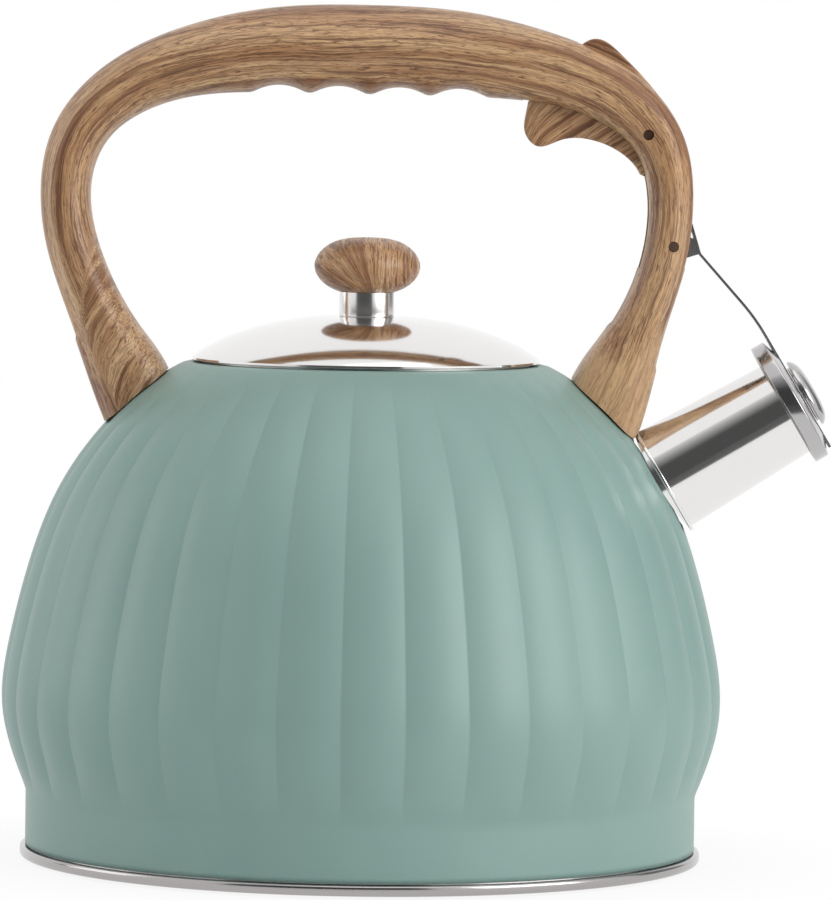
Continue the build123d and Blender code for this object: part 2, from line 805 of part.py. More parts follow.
coil_start = tangent_angle(slot_leg, 1)
coil_sweep = 360 * spring_turns + (tangent_angle(web_leg, -1) - coil_start) % 360
coil_rise = spring_pitch * coil_sweep / 360
quarter_count = round(coil_sweep / 90)


def coil_point(quarter):
    angle = radians(coil_start + coil_sweep * quarter / quarter_count)
    return Vector(
        arm_pivot[0] + coil_radius * cos(angle),
        coil_rise * (quarter / quarter_count - 0.5),
        arm_pivot[1] + coil_radius * sin(angle),
    )


def coil_tangent(quarter):
    angle = radians(coil_start + coil_sweep * quarter / quarter_count)
    climb = coil_rise / radians(coil_sweep)
    return Vector(-coil_radius * sin(angle), climb, coil_radius * cos(angle)).normalized()


def spring_leg(quarter, length):
    return coil_point(quarter) + coil_tangent(quarter) * length


slot_reach = (hypot(*slot_leg) ** 2 - coil_radius**2) ** 0.5
web_reach = (hypot(*web_leg) ** 2 - coil_radius**2) ** 0.5

with BuildPart() as return_spring:
    with BuildLine() as spring_line:
        Line(spring_leg(0, -slot_reach), coil_point(0))
        for quarter in range(quarter_count):
            first, last = coil_point(quarter), coil_point(quarter + 1)
            leave, arrive = coil_tangent(quarter), coil_tangent(quarter + 1)
            chord = last - first
            both_ways = chord.dot(leave + arrive)
            bend = 1 - leave.dot(arrive)
            step = (-both_ways + (both_ways**2 + 2 * bend * chord.dot(chord)) ** 0.5) / (2 * bend)
            join = (first + last + (leave - arrive) * step) * 0.5
            TangentArc(first, join, tangent=leave)
            TangentArc(join, last, tangent=(join - first - leave * step).normalized())
        Line(coil_point(quarter_count), spring_leg(quarter_count, web_reach))
    with BuildSketch(Plane(origin=spring_leg(0, -slot_reach), z_dir=coil_tangent(0))):
        Circle(spring_wire / 2)
    sweep(path=spring_line.wires()[0])
return_spring.part.label = "return_spring"
export_step(return_spring.part, "parts/return_spring.step")

fine = 12
coil_points = [coil_point(spot / fine) for spot in range(quarter_count * fine + 1)]
half_turn = 2 * fine
turn_gap = min(
    (coil_points[a] - coil_points[b]).length - spring_wire
    for a in range(len(coil_points))
    for b in range(a + half_turn, len(coil_points))
)
print(f"least gap between the spring's turns {turn_gap:.2f} mm")
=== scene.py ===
import json
from math import atan2, cos, exp, hypot, pi, radians, sin, sqrt

import bmesh
import bpy
import numpy as np
from mathutils import Matrix, Vector

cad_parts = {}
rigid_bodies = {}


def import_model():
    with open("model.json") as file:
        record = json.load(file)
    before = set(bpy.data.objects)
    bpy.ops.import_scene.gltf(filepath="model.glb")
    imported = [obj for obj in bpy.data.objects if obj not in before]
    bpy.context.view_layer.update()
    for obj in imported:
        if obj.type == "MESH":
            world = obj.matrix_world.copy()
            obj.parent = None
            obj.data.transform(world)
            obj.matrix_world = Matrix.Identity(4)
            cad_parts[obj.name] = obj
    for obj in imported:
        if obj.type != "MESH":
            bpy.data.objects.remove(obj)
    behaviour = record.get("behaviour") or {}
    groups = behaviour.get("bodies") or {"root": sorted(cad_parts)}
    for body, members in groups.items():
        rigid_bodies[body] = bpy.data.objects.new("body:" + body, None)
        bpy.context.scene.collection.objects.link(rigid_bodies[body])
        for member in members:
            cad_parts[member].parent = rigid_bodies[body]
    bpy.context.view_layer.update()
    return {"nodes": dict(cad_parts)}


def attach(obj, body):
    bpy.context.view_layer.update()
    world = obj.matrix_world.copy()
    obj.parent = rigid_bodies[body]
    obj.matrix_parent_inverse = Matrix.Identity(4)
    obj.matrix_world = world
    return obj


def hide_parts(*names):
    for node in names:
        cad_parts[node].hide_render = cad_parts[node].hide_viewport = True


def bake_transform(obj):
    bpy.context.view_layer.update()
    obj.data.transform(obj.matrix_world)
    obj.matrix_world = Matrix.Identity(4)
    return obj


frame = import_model()
print("frame loaded:", len(frame["nodes"]), "nodes")

mm = 0.001
scene = bpy.context.scene


# Sockets as numbers: Python operators add Math nodes
class Wire:
    def __init__(self, socket):
        self.socket = socket

    def sibling(self, name):
        return Wire(self.socket.node.outputs[name])

    def calc(self, operation, *values):
        return NodeBench(self.socket.id_data).make(
            "ShaderNodeMath", {"operation": operation}, dict(enumerate(values))
        )

    def __add__(self, other):
        return self.calc("ADD", self, other)

    def __sub__(self, other):
        return self.calc("SUBTRACT", self, other)

    def __rsub__(self, other):
        return self.calc("SUBTRACT", other, self)

    def __mul__(self, other):
        return self.calc("MULTIPLY", self, other)

    def __truediv__(self, other):
        return self.calc("DIVIDE", self, other)

    __radd__ = __add__

    def clip(self):
        return self.calc("MAXIMUM", self.calc("MINIMUM", self, 1.0), 0.0)


class NodeBench:
    def __init__(self, tree):
        self.tree = tree

    def plug(self, socket, value):
        if isinstance(value, Wire):
            self.tree.links.new(value.socket, socket)
        else:
            socket.default_value = value

    def make(self, kind, settings=None, sockets=None, out=0):
        node = self.tree.nodes.new(kind)
        for key, value in (settings or {}).items():
            setattr(node, key, value)
        for key, value in (sockets or {}).items():
            self.plug(node.inputs[key], value)
        return Wire(node.outputs[out]) if node.outputs else node


def linear(*rgb):
    return tuple((c / 255 / 12.92) if c <= 10 else ((c / 255 + 0.055) / 1.055) ** 2.4 for c in rgb)


def newFinish(name):
    finish = bpy.data.materials.new(name)
    finish.use_nodes = True
    return finish, NodeBench(finish.node_tree), finish.node_tree.nodes["Principled BSDF"]


def feed(bench, bsdf, **sockets):
    for key, value in sockets.items():
        bench.plug(bsdf.inputs[key.replace("_", " ")], value)


def noise(bench, vector, scale, detail, roughness):
    sockets = {"Vector": vector, "Scale": scale, "Detail": detail, "Roughness": roughness}
    return bench.make("ShaderNodeTexNoise", {"noise_dimensions": "3D"}, sockets)


def stretched(bench, vector, size):
    return bench.make("ShaderNodeVectorMath", {"operation": "DIVIDE"}, {0: vector, 1: size})


def mixColour(bench, factor, first, second):
    def whole(value):
        return value if isinstance(value, Wire) else (*value, 1.0)

    return bench.make(
        "ShaderNodeMix",
        {"data_type": "RGBA"},
        {0: factor, 6: whole(first), 7: whole(second)},
        out=2,
    )


def bumped(bench, height, strength, distance):
    return bench.make(
        "ShaderNodeBump", {}, {"Height": height, "Strength": strength, "Distance": distance}, out="Normal"
    )


def objectCoords(bench):
    return bench.make("ShaderNodeTexCoord", out="Object")


# Sage enamel: satin, with the faint cloud and orange peel of sprayed paint
paint = {
    "light": linear(141, 171, 163),
    "deep": linear(121, 152, 146),
    "roughness": 0.46,
    "coat": 0.12,
    "coatRoughness": 0.3,
    "cloudScale": 14.0,
    "cloudGloss": 0.08,
    "peelScale": 900.0,
    "peelStrength": 0.05,
    "peelHeight": 0.0002,
}


def sagePaint():
    finish, bench, bsdf = newFinish("sage_enamel")
    where = objectCoords(bench)
    cloud = noise(bench, where, paint["cloudScale"], 3.0, 0.55)
    peel = noise(bench, where, paint["peelScale"], 2.0, 0.5)
    feed(
        bench,
        bsdf,
        Base_Color=mixColour(bench, cloud, paint["deep"], paint["light"]),
        Roughness=paint["roughness"] + (cloud - 0.5) * paint["cloudGloss"],
        Coat_Weight=paint["coat"],
        Coat_Roughness=paint["coatRoughness"],
        Normal=bumped(bench, peel, paint["peelStrength"], paint["peelHeight"]),
    )
    return finish


# Steel: a haze in the gloss, and the streaks that polishing or brushing leaves
metal = {"hazeScale": 35.0, "hazeTone": 0.96, "hazeGloss": 0.06, "streakBump": 0.35, "streakHeight": 0.0001}


def steel(name, colour, roughness, streak, lines):
    finish, bench, bsdf = newFinish(name)
    where = objectCoords(bench)
    haze = noise(bench, where, metal["hazeScale"], 3.0, 0.6)
    grain = noise(bench, stretched(bench, where, lines), 1.0, 3.0, 0.6)
    feed(
        bench,
        bsdf,
        Base_Color=mixColour(bench, haze, tuple(c * metal["hazeTone"] for c in colour), colour),
        Metallic=1.0,
        Roughness=roughness + (haze - 0.5) * metal["hazeGloss"] + (grain - 0.5) * streak,
        Normal=bumped(bench, grain, streak * metal["streakBump"], metal["streakHeight"]),
    )
    return finish


# Wood print: the piece's own "grain" attribute gives the way along, across and into the wood, in millimetres
wood = {
    "line": linear(94, 54, 27),
    "brown": linear(148, 100, 60),
    "tan": linear(191, 145, 99),
    "pale": linear(214, 176, 131),
    "roughness": 0.42,
    "coat": 0.3,
    "coatRoughness": 0.3,
    "drift": (38.0, 11.0, 11.0),
    "tremble": (4.0, 1.6, 1.6),
    "trembleSway": 0.7,
    "cloudLength": 55.0,
    "veinLength": 130.0,
    "lineLength": 26.0,
    "dashLength": 3.2,
    "fineLength": 6.0,
    "cloudEdge": (0.5, 0.3),
    "veinEdge": (0.54, 0.2),
    "lineEdge": (0.55, 0.1),
    "lineVeins": (0.4, 0.3),
    "dashEdge": (0.6, 0.1),
    "fineEdge": (0.54, 0.14),
    "stripeEdge": (0.6, 0.08),
    "stripeLines": (0.46, 0.2),
    "veinInk": 0.85,
    "dashInk": 0.8,
    "fineInk": 0.42,
    "lineInk": 0.9,
    "inkGloss": 0.12,
    "inkStrength": 0.15,
    "inkHeight": 0.0002,
    "paleFoot": 0.6,
    "paleEase": 7.0,
    "paleWave": 30.0,
    "paleSlope": 0.4,
    "paleInk": 0.75,
}


def above(wire, edge, soft):
    return ((wire - edge) / soft + 0.5).clip()


def woodPrint(name, vein, line, sway, bold, paleFrom=None):
    finish, bench, bsdf = newFinish(name)
    where = bench.make("ShaderNodeAttribute", {"attribute_name": "grain"}, out="Vector")

    def streaks(vector, size, detail=2.0, roughness=0.5):
        return noise(bench, stretched(bench, vector, size), 1.0, detail, roughness)

    drift = streaks(where, wood["drift"])
    tremble = streaks(where, wood["tremble"])
    along = bench.make("ShaderNodeSeparateXYZ", {}, {0: where}, out="X")
    across = along.sibling("Y") + (drift - 0.5) * sway + (tremble - 0.5) * wood["trembleSway"]
    bent = bench.make("ShaderNodeCombineXYZ", {}, {0: along, 1: across, 2: along.sibling("Z")})
    cloud = streaks(bent, (wood["cloudLength"], vein * 2.2, vein * 4))
    veins = streaks(bent, (wood["veinLength"], vein, vein * 3))
    lines = streaks(bent, (wood["lineLength"], line, line * 2), roughness=0.6)
    dashes = streaks(bent, (wood["dashLength"], line * 0.55, line), roughness=0.6)
    fine = streaks(bent, (wood["fineLength"], line * 0.36, line * 0.7), detail=1.0)
    base = mixColour(bench, above(cloud, *wood["cloudEdge"]), wood["tan"], wood["pale"])
    veined = mixColour(bench, above(veins, *wood["veinEdge"]) * wood["veinInk"], base, wood["brown"])
    dark = above(lines, *wood["lineEdge"]) * (above(veins, *wood["lineVeins"]) * 0.6 + 0.35)
    speck = above(dashes, *wood["dashEdge"]) * wood["dashInk"]
    speck += above(fine, *wood["fineEdge"]) * wood["fineInk"]
    stripe = above(veins, *wood["stripeEdge"]) * (above(lines, *wood["stripeLines"]) * 0.6 + 0.4) * bold
    drawn = dark.calc("MAXIMUM", dark.calc("MAXIMUM", dark, speck), stripe)
    if paleFrom is not None:
        wavy = along + (drift - 0.5) * wood["paleWave"] + across * wood["paleSlope"]
        foot = above(wavy, paleFrom, wood["paleEase"]) * wood["paleFoot"]
        veined = mixColour(bench, foot, veined, wood["pale"])
        drawn = drawn * (1.0 - foot * wood["paleInk"])
    feed(
        bench,
        bsdf,
        Base_Color=mixColour(bench, drawn.clip() * wood["lineInk"], veined, wood["line"]),
        Roughness=wood["roughness"] + drawn * wood["inkGloss"],
        Coat_Weight=wood["coat"],
        Coat_Roughness=wood["coatRoughness"],
        Normal=bumped(bench, 1.0 - drawn, wood["inkStrength"], wood["inkHeight"]),
    )
    return finish


# Plain metal, rubber, or the pins' dark brown that is painted shade from their recessed holes, with a faint
# fleck
plain = {"dim": 0.85, "bright": 1.1, "gloss": 0.15}


def plainFinish(name, colour, metallic, roughness, scale):
    finish, bench, bsdf = newFinish(name)
    fleck = noise(bench, objectCoords(bench), scale, 3.0, 0.6)
    dim, bright = (tuple(c * plain[share] for c in colour) for share in ("dim", "bright"))
    feed(
        bench,
        bsdf,
        Base_Color=mixColour(bench, fleck, dim, bright),
        Metallic=metallic,
        Roughness=roughness + (fleck - 0.5) * plain["gloss"],
    )
    return finish


finishes = {
    "paint": sagePaint(),
    "polished": steel("polished_steel", (0.83, 0.82, 0.81), 0.11, 0.006, (0.004, 0.004, 0.0004)),
    "brushed": steel("brushed_steel", (0.8, 0.79, 0.78), 0.2, 0.03, (0.02, 0.02, 0.0004)),
    # The bead is the pan's own steel made darker: painted darker reflection
    "bead": steel("bead_steel_painted_dark_reflection", (0.42, 0.4, 0.4), 0.17, 0.03, (0.02, 0.02, 0.0005)),
    # The cap and button are the lid's polished steel made darker: painted darker reflection
    "cap": steel("cap_steel_painted_dark_reflection", (0.5, 0.49, 0.49), 0.16, 0.006, (0.004, 0.004, 0.0004)),
    "strap": plainFinish("strap_steel", (0.66, 0.65, 0.64), 1.0, 0.26, 60.0),
    "satin": steel("satin_steel", (0.62, 0.61, 0.6), 0.34, 0.12, (0.02, 0.02, 0.0006)),
    "wood": woodPrint("wood_print", vein=2.6, line=0.55, sway=4.0, bold=0.45, paleFrom=316.0),
    "triggerWood": woodPrint("wood_print_trigger", vein=1.1, line=0.5, sway=1.0, bold=0.6),
    "knobWood": woodPrint("wood_print_knob", vein=1.6, line=0.45, sway=2.5, bold=0.5),
    # The pins' dark brown is painted shade: it stands in for the shade in the holes they sit in
    "pin": plainFinish("pin_painted_hole_shade", linear(98, 76, 62), 0.4, 0.45, 400.0),
    "aluminium": plainFinish("disc_aluminium", (0.72, 0.72, 0.73), 1.0, 0.4, 300.0),
    "silicone": plainFinish("silicone", (0.55, 0.55, 0.53), 0.0, 0.6, 300.0),
}
print("finishes made:", len(finishes))


# Smooth line through points, with the direction given at both ends
def splineThrough(points, startTangent, endTangent, count):
    points = np.array(points, float)
    steps = np.linalg.norm(np.diff(points, axis=0), axis=1)
    knots = np.concatenate(([0.0], np.cumsum(steps)))
    size = len(points)
    lhs = np.zeros((size, size))
    rhs = np.zeros((size, points.shape[1]))
    lhs[0, 0] = lhs[-1, -1] = 1.0
    rhs[0] = np.array(startTangent) / np.linalg.norm(startTangent)
    rhs[-1] = np.array(endTangent) / np.linalg.norm(endTangent)
    for i in range(1, size - 1):
        before, after = steps[i - 1], steps[i]
        lhs[i, i - 1 : i + 2] = after, 2 * (before + after), before
        rhs[i] = 3 * (
            before / after * (points[i + 1] - points[i]) + after / before * (points[i] - points[i - 1])
        )
    slopes = np.linalg.solve(lhs, rhs)
    out = []
    for t in np.linspace(0, knots[-1], count):
        i = min(np.searchsorted(knots, t, "right") - 1, size - 2)
        h = steps[i]
        s = (t - knots[i]) / h
        out.append(
            points[i] * (1 + 2 * s) * (1 - s) ** 2
            + points[i + 1] * s * s * (3 - 2 * s)
            + slopes[i] * h * s * (1 - s) ** 2
            - slopes[i + 1] * h * s * s * (1 - s)
        )
    return [tuple(p) for p in out]


def bezier(points, count):
    a, b, c, d = (np.array(p, float) for p in points)
    return [
        tuple(a * (1 - t) ** 3 + 3 * b * t * (1 - t) ** 2 + 3 * c * t * t * (1 - t) + d * t**3)
        for t in np.linspace(0, 1, count)
    ]


# Corners of a profile cut back and rounded
def softCorners(points, radius, closed=True, steps=4):
    points = [Vector(p) for p in points]
    out = []
    for i, point in enumerate(points):
        if not closed and i in (0, len(points) - 1):
            out.append(tuple(point))
            continue
        before, after = points[i - 1] - point, points[(i + 1) % len(points)] - point
        if before.angle(after, pi) > radians(155):
            out.append(tuple(point))
            continue
        cut = min(radius, before.length * 0.45, after.length * 0.45)
        start = point + before.normalized() * cut
        end = point + after.normalized() * cut
        for k in range(steps + 1):
            t = k / steps
            out.append(tuple(start * (1 - t) ** 2 + point * 2 * t * (1 - t) + end * t * t))
    return out


def dress(mesh, finish, sharp):
    mesh.materials.clear()
    for one in finish if isinstance(finish, (list, tuple)) else [finish]:
        mesh.materials.append(one)
    mesh.polygons.foreach_set("material_index", [0] * len(mesh.polygons))
    mesh.polygons.foreach_set("use_smooth", [True] * len(mesh.polygons))
    mesh.set_sharp_from_angle(angle=radians(sharp))


def meshPiece(name, mesh, finish, sharp=35.0):
    piece = bpy.data.objects.new(name, mesh)
    scene.collection.objects.link(piece)
    dress(mesh, finish, sharp)
    return piece


def shapedMesh(piece):
    return bpy.data.meshes.new_from_object(piece.evaluated_get(bpy.context.evaluated_depsgraph_get()))


def toMesh(name, work):
    bmesh.ops.remove_doubles(work, verts=work.verts, dist=1e-7)
    bmesh.ops.recalc_face_normals(work, faces=work.faces)
    mesh = bpy.data.meshes.new(name)
    work.to_mesh(mesh)
    work.free()
    return mesh


# Turned shape: profile of (radius, height) in millimetres round the local Z axis of the stand
def turned(
    name, profile, finish, stand=Matrix.Identity(4), segments=128, closed=True, shift=None, sharp=35.0
):
    work = bmesh.new()
    rings = []
    for row, (radius, height) in enumerate(profile):
        if radius < 1e-4:
            rings.append([work.verts.new(stand @ Vector((0, 0, height * mm)))] * segments)
            continue
        ring = []
        for k in range(segments):
            angle = 2 * pi * k / segments
            lift = shift(row, radius, angle) if shift else 0.0
            spot = Vector((radius * cos(angle), radius * sin(angle), height + lift)) * mm
            ring.append(work.verts.new(stand @ spot))
        rings.append(ring)
    for low, high in zip(rings, rings[1:] + (rings[:1] if closed else [])):
        for k in range(segments):
            n = (k + 1) % segments
            corner = [low[k], low[n], high[n], high[k]]
            corner = [v for i, v in enumerate(corner) if v not in corner[:i]]
            if len(corner) > 2:
                work.faces.new(corner)
    return meshPiece(name, toMesh(name, work), finish, sharp)


def place(piece, body, slot, *nodes):
    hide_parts(*nodes)
    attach(piece, body)


# Lobed body: crest line from the band to the mouth, bulging lobes that meet in creases
body = {
    "lobes": 36,
    "lobeDepth": 1.1,
    "firstCrease": 7.3,
    "fadeLow": 10.0,
    "fadeHigh": 17.0,
    "wall": 0.7,
    "rings": 96,
    "perLobe": 12,
    "foot": (93.2, 4.1),
    "bandTop": 19.8,
    "bandEase": ((0.0, 3.0), (0.0, 1.0), (0.06, 0.3)),
    "mouthHeight": 138.4,
    "mouthBore": 44.5,
    "mouthFlat": 2.0,
    "creaseNudge": 0.0001,
    "sewGap": 0.01,
}
crestPoints = [
    (93.4, 19.8),
    (100.0, 42.5),
    (98.0, 61.8),
    (93.0, 82.0),
    (85.2, 102.5),
    (72.9, 120.5),
    (50.2, 138.4),
]
crestLine = splineThrough(crestPoints, (0.42, 1.0), (-1.0, 0.45), count=160)


def crestRadius(height):
    return float(np.interp(height, [z for _, z in crestLine], [r for r, _ in crestLine]))


def bodyProfile():
    foot = body["foot"]
    band = [(foot[0] + out, body["bandTop"] - drop) for out, drop in body["bandEase"]]
    mouth = [(body["mouthBore"] + out, body["mouthHeight"]) for out in (body["mouthFlat"], 0.0)]
    return [foot] + band + crestLine[1:] + mouth


def lobedTree():
    tree = bpy.data.node_groups.new("lobed_body", "GeometryNodeTree")
    face = tree.interface
    face.new_socket("Geometry", in_out="INPUT", socket_type="NodeSocketGeometry")
    inputs = {}
    for label, amount in (
        ("Lobes", body["lobes"]),
        ("Segments per lobe", body["perLobe"]),
        ("Rings", body["rings"]),
        ("Lobe depth", body["lobeDepth"] * mm),
        ("First crease", radians(body["firstCrease"])),
        ("Band top", body["bandTop"] * mm),
        ("Mouth height", body["mouthHeight"] * mm),
        ("Fade low", body["fadeLow"] * mm),
        ("Fade high", body["fadeHigh"] * mm),
    ):
        kind = "NodeSocketInt" if isinstance(amount, int) else "NodeSocketFloat"
        socket = face.new_socket(label, in_out="INPUT", socket_type=kind)
        socket.default_value = amount
        inputs[label] = socket.identifier
    enamel = face.new_socket("Enamel", in_out="INPUT", socket_type="NodeSocketMaterial")
    inputs["Enamel"] = enamel.identifier
    face.new_socket("Geometry", in_out="OUTPUT", socket_type="NodeSocketGeometry")

    bench = NodeBench(tree)
    given = bench.make("NodeGroupInput")

    def value(label):
        return given.sibling(label)

    around = value("Lobes") * value("Segments per lobe")
    sheet = bench.make(
        "GeometryNodeMeshGrid",
        {},
        {"Size X": 1.0, "Size Y": 1.0, "Vertices X": around + 1.0, "Vertices Y": value("Rings")},
    )
    spot = bench.make("ShaderNodeSeparateXYZ", {}, {0: bench.make("GeometryNodeInputPosition")})
    turn = (spot + 0.5) * value("Lobes")
    share = spot.sibling("Y") + 0.5
    lobe = turn.calc("FLOOR", turn + body["creaseNudge"])
    # The sine crowds the points at the creases
    swing = turn.calc("SINE", (turn - lobe - 0.5) * pi) * 0.5
    angle = (lobe + 0.5 + swing) * (2 * pi) / value("Lobes") + value("First crease")
    crest = bench.make(
        "GeometryNodeSampleCurve",
        {"mode": "FACTOR", "use_all_curves": True},
        {"Curves": given, "Factor": share},
        out="Position",
    )
    radius = bench.make("ShaderNodeSeparateXYZ", {}, {0: crest})
    height = radius.sibling("Z")
    rise = ((height - value("Band top")) / value("Fade low")).clip()
    fall = ((value("Mouth height") - height) / value("Fade high")).clip()
    depth = value("Lobe depth") * rise * fall * (swing * swing * 4.0)
    reach = radius - depth
    shaped = bench.make(
        "ShaderNodeCombineXYZ",
        {},
        {0: reach * angle.calc("COSINE", angle), 1: reach * angle.calc("SINE", angle), 2: height},
    )
    moved = bench.make("GeometryNodeSetPosition", {}, {"Geometry": sheet, "Position": shaped})
    sewing = {"Geometry": moved, "Distance": body["sewGap"] * mm}
    sewn = bench.make("GeometryNodeMergeByDistance", {}, sewing)
    real = bench.make("GeometryNodeRealizeInstances", {}, {"Geometry": sewn})
    coated = bench.make("GeometryNodeSetMaterial", {}, {"Geometry": real, "Material": value("Enamel")})
    bench.make("NodeGroupOutput", {}, {0: coated})
    return tree, inputs


def lobedShell():
    profile = bodyProfile()
    curve = bpy.data.curves.new("crest_line", "CURVE")
    curve.dimensions = "3D"
    line = curve.splines.new("POLY")
    line.points.add(len(profile) - 1)
    for point, (radius, height) in zip(line.points, profile):
        point.co = (radius * mm, 0, height * mm, 1)
    guide = bpy.data.objects.new("crest_line", curve)
    scene.collection.objects.link(guide)
    tree, inputs = lobedTree()
    nodes = guide.modifiers.new("lobes", "NODES")
    nodes.node_group = tree
    nodes[inputs["Enamel"]] = finishes["paint"]
    mesh = shapedMesh(guide)
    guide.modifiers.remove(nodes)
    bpy.data.objects.remove(guide)
    return mesh


def cutBy(piece, *cutters):
    for cutter in cutters:
        cut = piece.modifiers.new("cut", "BOOLEAN")
        cut.operation = "DIFFERENCE"
        cut.solver = "EXACT"
        cut.object = cutter
    mesh = shapedMesh(piece)
    piece.modifiers.clear()
    piece.data = mesh
    for cutter in cutters:
        bpy.data.objects.remove(cutter)


# Spout and cap axes
spout = {
    "height": 106.9,
    "tilt": 31.0,
    "length": 40.8,
    "root": 15.1,
    "mouth": 13.65,
    "wall": 0.8,
    "flange": 16.3,
    "flangeFront": 0.9,
    "flangeThickness": 1.0,
    "flangeEdge": 0.1,
    "flangeLip": 0.2,
    "flangeRound": 0.35,
    "outerRows": (0.2, 2.0, 38.5, 40.4),
    "lipRows": ((0.3, 0.0), (0.6, 0.1)),
    "innerRows": (40.0, 2.0, 0.2),
    "capCover": 1.2,
    "capRaise": 1.1,
    "boreReach": 16.0,
    "reliefGap": 0.3,
    "reliefEnds": (-17.0, 40.0),
}
tilt = radians(spout["tilt"])
spoutAxis = Vector((cos(tilt), 0, sin(tilt)))
spoutUp = Vector((-sin(tilt), 0, cos(tilt)))
spoutRoot = Vector((crestRadius(spout["height"]), 0, spout["height"])) * mm


def standing(origin):
    turn = Matrix((Vector((0, 1, 0)), spoutUp, spoutAxis)).transposed()
    return Matrix.Translation(origin) @ turn.to_4x4()


spoutPlace = standing(spoutRoot)
capPlace = standing(
    spoutRoot + spoutAxis * ((spout["length"] - spout["capCover"]) * mm) + spoutUp * (spout["capRaise"] * mm)
)

shell = meshPiece("body_skin", lobedShell(), [finishes["paint"], finishes["satin"]], sharp=50.0)
boreRadius, boreReach = spout["root"] - spout["wall"], spout["boreReach"]
boreProfile = [(boreRadius, -boreReach), (boreRadius, boreReach), (0, boreReach), (0, -boreReach)]
bore = turned("bore", boreProfile, finishes["satin"], spoutPlace, segments=64)
sheet = shell.modifiers.new("sheet", "SOLIDIFY")
sheet.thickness = body["wall"] * mm
sheet.offset = -1.0
sheet.material_offset = 1
sheet.use_even_offset = True
cutBy(shell, bore)
place(shell, "kettle", "sage_paint", "body_shell")
print("body:", len(shell.data.polygons), "faces")


# Bottom: floor with a rolled bead and the ring that goes up inside the shell
bottom = {
    "bead": 94.7, "width": 2.6, "lift": 0.8, "top": 3.8, "wall": 0.7, "round": 1.25, "ring": 92.4,
    "ringTop": 8.8,
}


def bottomProfile():
    b = bottom
    inside = b["bead"] - b["width"]
    bead = softCorners(
        [
            (b["ring"] - b["wall"], b["top"] - b["wall"]),
            (inside, b["top"] - b["wall"]),
            (inside, b["lift"]),
            (b["bead"], b["lift"]),
            (b["bead"], b["top"]),
            (b["ring"], b["top"]),
        ],
        b["round"], closed=False, steps=6,
    )
    return [(0, b["top"] - b["wall"])] + bead + [
        (b["ring"], b["ringTop"]),
        (b["ring"] - b["wall"], b["ringTop"]),
        (b["ring"] - b["wall"], b["top"]),
        (0, b["top"]),
    ]


pan = turned("bottom_bead", bottomProfile(), finishes["bead"], segments=256, closed=False)
place(pan, "kettle", "polished_steel", "bottom_pan")

# Lid, collar and knob
lid = {
    "radius": 48.3, "seat": 139.0, "edge": 0.7, "crown": 151.4, "flat": 8.6, "wall": 0.6, "hole": 2.05,
    "shoulder": 6.8, "shoulderDrop": 5.8, "ease": 15.4, "edgeCut": 0.15,
    "collar": 7.65, "collarWall": 0.9, "collarRound": 0.3,
    "knobBase": 158.4, "knobHeight": 15.0, "knob": 14.7, "knobSeat": 8.0,
    "knobSide": ((0.87, 0.19), (1.0, 0.467), (0.83, 0.79)),
}


def lidDome(sheet):
    rim = lid["radius"] - sheet
    return bezier(
        [
            (rim, lid["seat"] + lid["edge"] - sheet),
            (rim - lid["shoulder"], lid["crown"] - sheet - lid["shoulderDrop"]),
            (lid["flat"] + lid["ease"], lid["crown"] - sheet),
            (lid["flat"], lid["crown"] - sheet),
        ],
        count=40,
    )


lidProfile = (
    [(lid["hole"], lid["crown"])]
    + lidDome(0)[::-1]
    + [(lid["radius"], lid["seat"] + lid["edgeCut"]), (lid["radius"] - lid["edgeCut"], lid["seat"])]
    + [(lid["radius"] - lid["wall"], lid["seat"])]
    + lidDome(lid["wall"])
    + [(lid["hole"], lid["crown"] - lid["wall"])]
)
lidPiece = turned("lid_dome", lidProfile, finishes["polished"], segments=200)
place(lidPiece, "lid", "polished_steel", "lid")

collarProfile = softCorners(
    [
        (lid["collar"], lid["crown"]),
        (lid["collar"], lid["knobBase"]),
        (lid["collar"] - lid["collarWall"], lid["knobBase"]),
        (lid["collar"] - lid["collarWall"], lid["crown"]),
    ],
    lid["collarRound"],
)
collar = turned("knob_collar", collarProfile, finishes["brushed"], segments=96)
place(collar, "lid", "polished_steel", "lid_collar")

knobTop = lid["knobBase"] + lid["knobHeight"]
knobBelly = [(lid["knob"] * r, lid["knobBase"] + lid["knobHeight"] * h) for r, h in lid["knobSide"]]
knobSide = splineThrough(
    [(lid["knobSeat"], lid["knobBase"]), *knobBelly, (0.0, knobTop)], (1.0, 0.35), (-1.0, 0.0), count=48
)
knob = turned("wood_knob", [(0, lid["knobBase"])] + knobSide, finishes["knobWood"], segments=96, closed=False)


def grainOf(piece, rule):
    layer = piece.data.attributes.new("grain", "FLOAT_VECTOR", "POINT")
    values = [v for vertex in piece.data.vertices for v in rule(vertex.co / mm)]
    layer.data.foreach_set("vector", values)


# Grain lines stand upright on one side of the knob and fan out on the other, from a point below it
knobFan = {"side": 2.5, "below": 3.5, "reach": 14.0, "along": 300.0, "across": 40.0, "deep": 0.25}


def knobGrain(spot):
    rise = spot.z - lid["knobBase"] + knobFan["below"]
    away = knobFan["side"] - spot.x
    along, aside = (rise, away) if away < 0 else (hypot(away, rise), knobFan["reach"] * atan2(away, rise))
    return along + knobFan["along"], knobFan["across"] - aside, spot.y * knobFan["deep"]


grainOf(knob, knobGrain)
place(knob, "lid", "wood_print", "lid_knob")
print("lid made")


# Spout tube and flange: the base rings follow the curve of the body
def seatShift(rows):
    def shift(row, radius, angle):
        if row not in rows:
            return 0.0
        return -((radius * cos(angle)) ** 2) / (2 * spoutRoot.x / mm)

    return shift


def spoutRadius(along):
    return spout["root"] + (spout["mouth"] - spout["root"]) * along / spout["length"]


